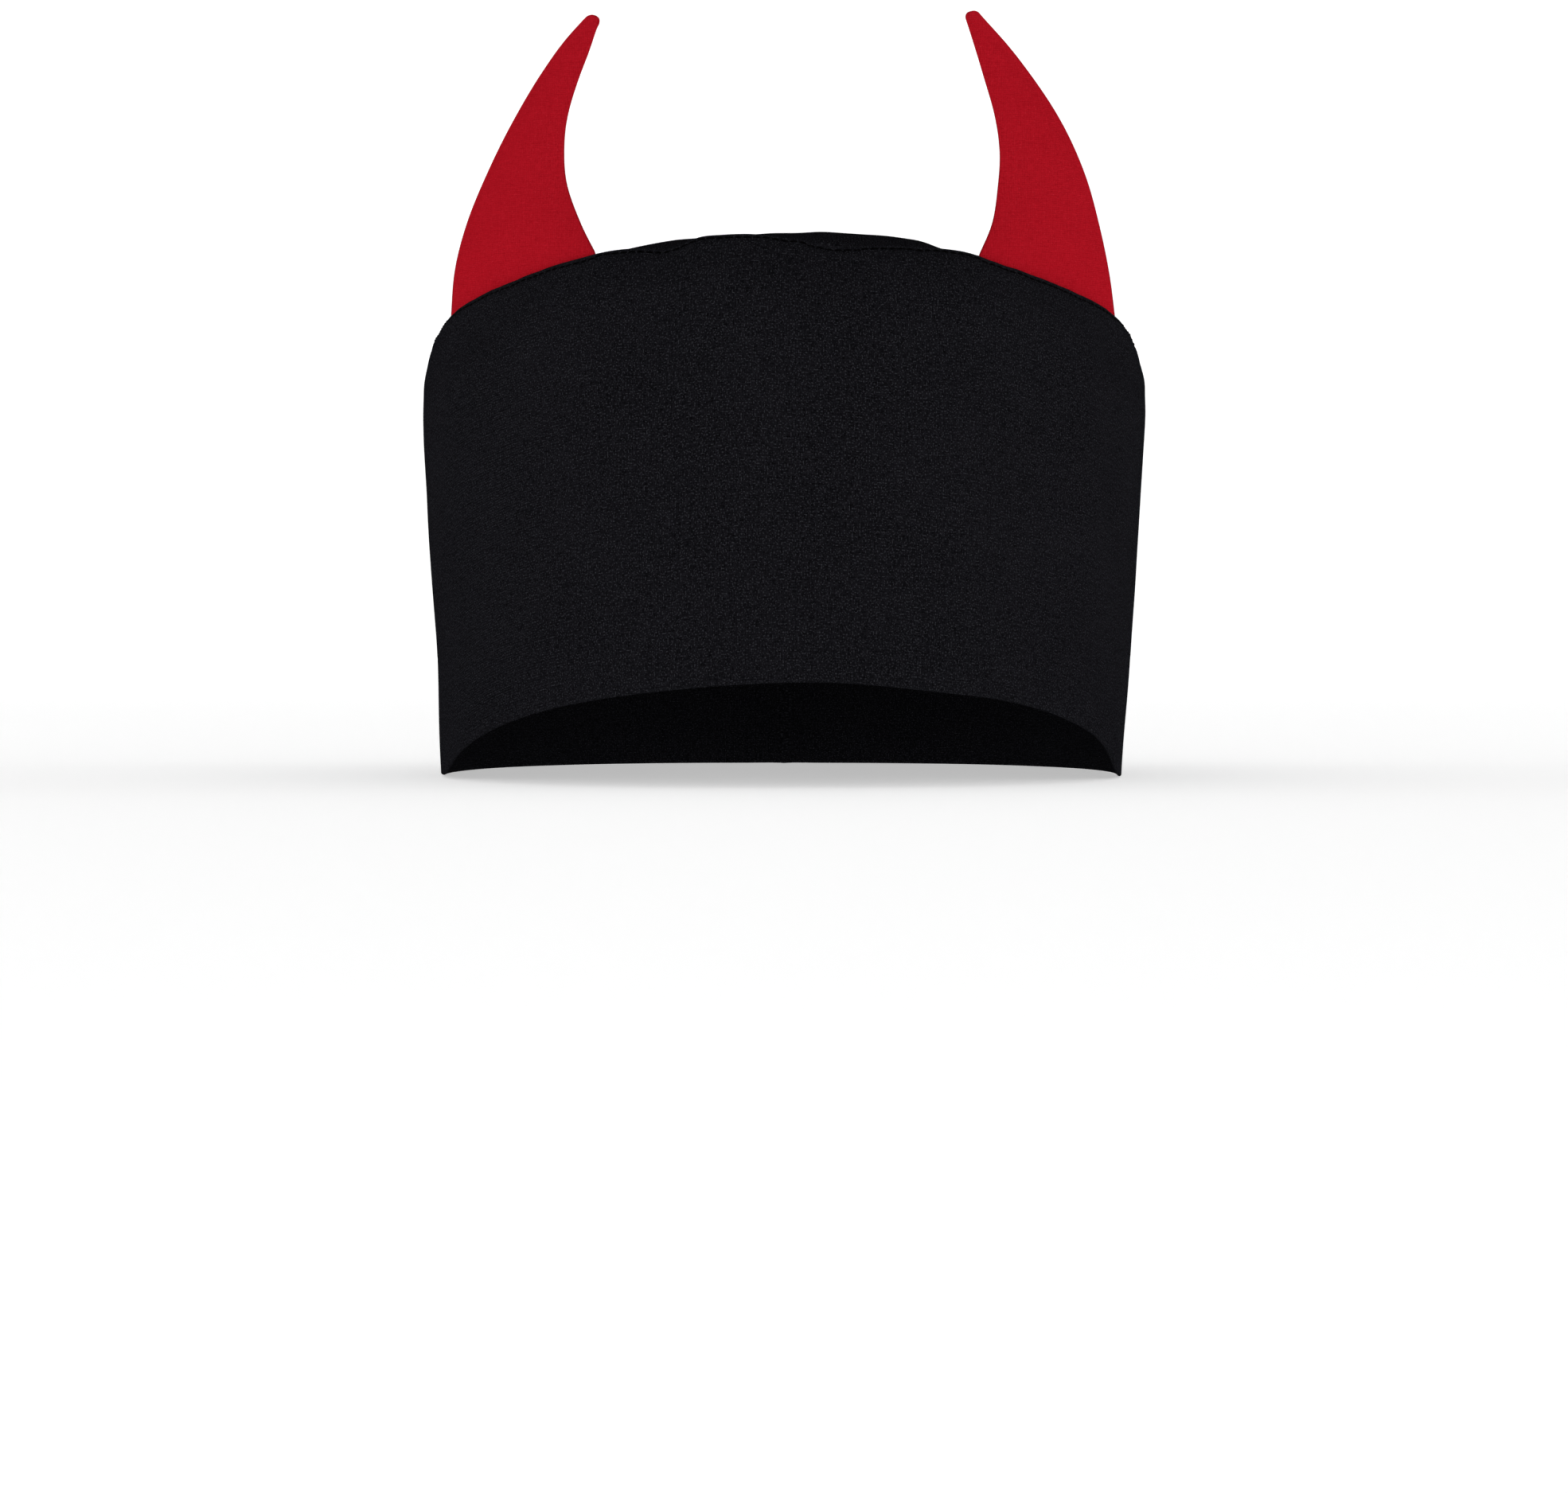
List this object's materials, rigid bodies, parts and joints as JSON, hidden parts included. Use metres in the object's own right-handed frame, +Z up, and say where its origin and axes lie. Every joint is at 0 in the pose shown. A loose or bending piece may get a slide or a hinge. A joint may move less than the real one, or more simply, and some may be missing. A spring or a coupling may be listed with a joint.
{
  "type": "devil horn cap",
  "caption": "Black cotton cap with a deep upright band arched over the brow, a low domed crown that slopes to the back, and curved red fabric horns sewn into the crown seam.",
  "frame": {"origin": "centre of the cap's outline, on the surface that the rim stands on", "axes": "+Z up, the front of the cap faces -Y, +X to the right as seen from the front"},
  "size_m": [0.1592, 0.198, 0.1639],
  "materials": {
    "black_cotton": "matt black plain-weave cotton, topstitched in black",
    "red_cotton": "matt red plain-weave cotton over a thin filling"
  },
  "bodies": {
    "root": {"band": "black_cotton", "crown": "black_cotton", "horn_left": "red_cotton", "horn_right": "red_cotton"}
  },
  "joints": []
}
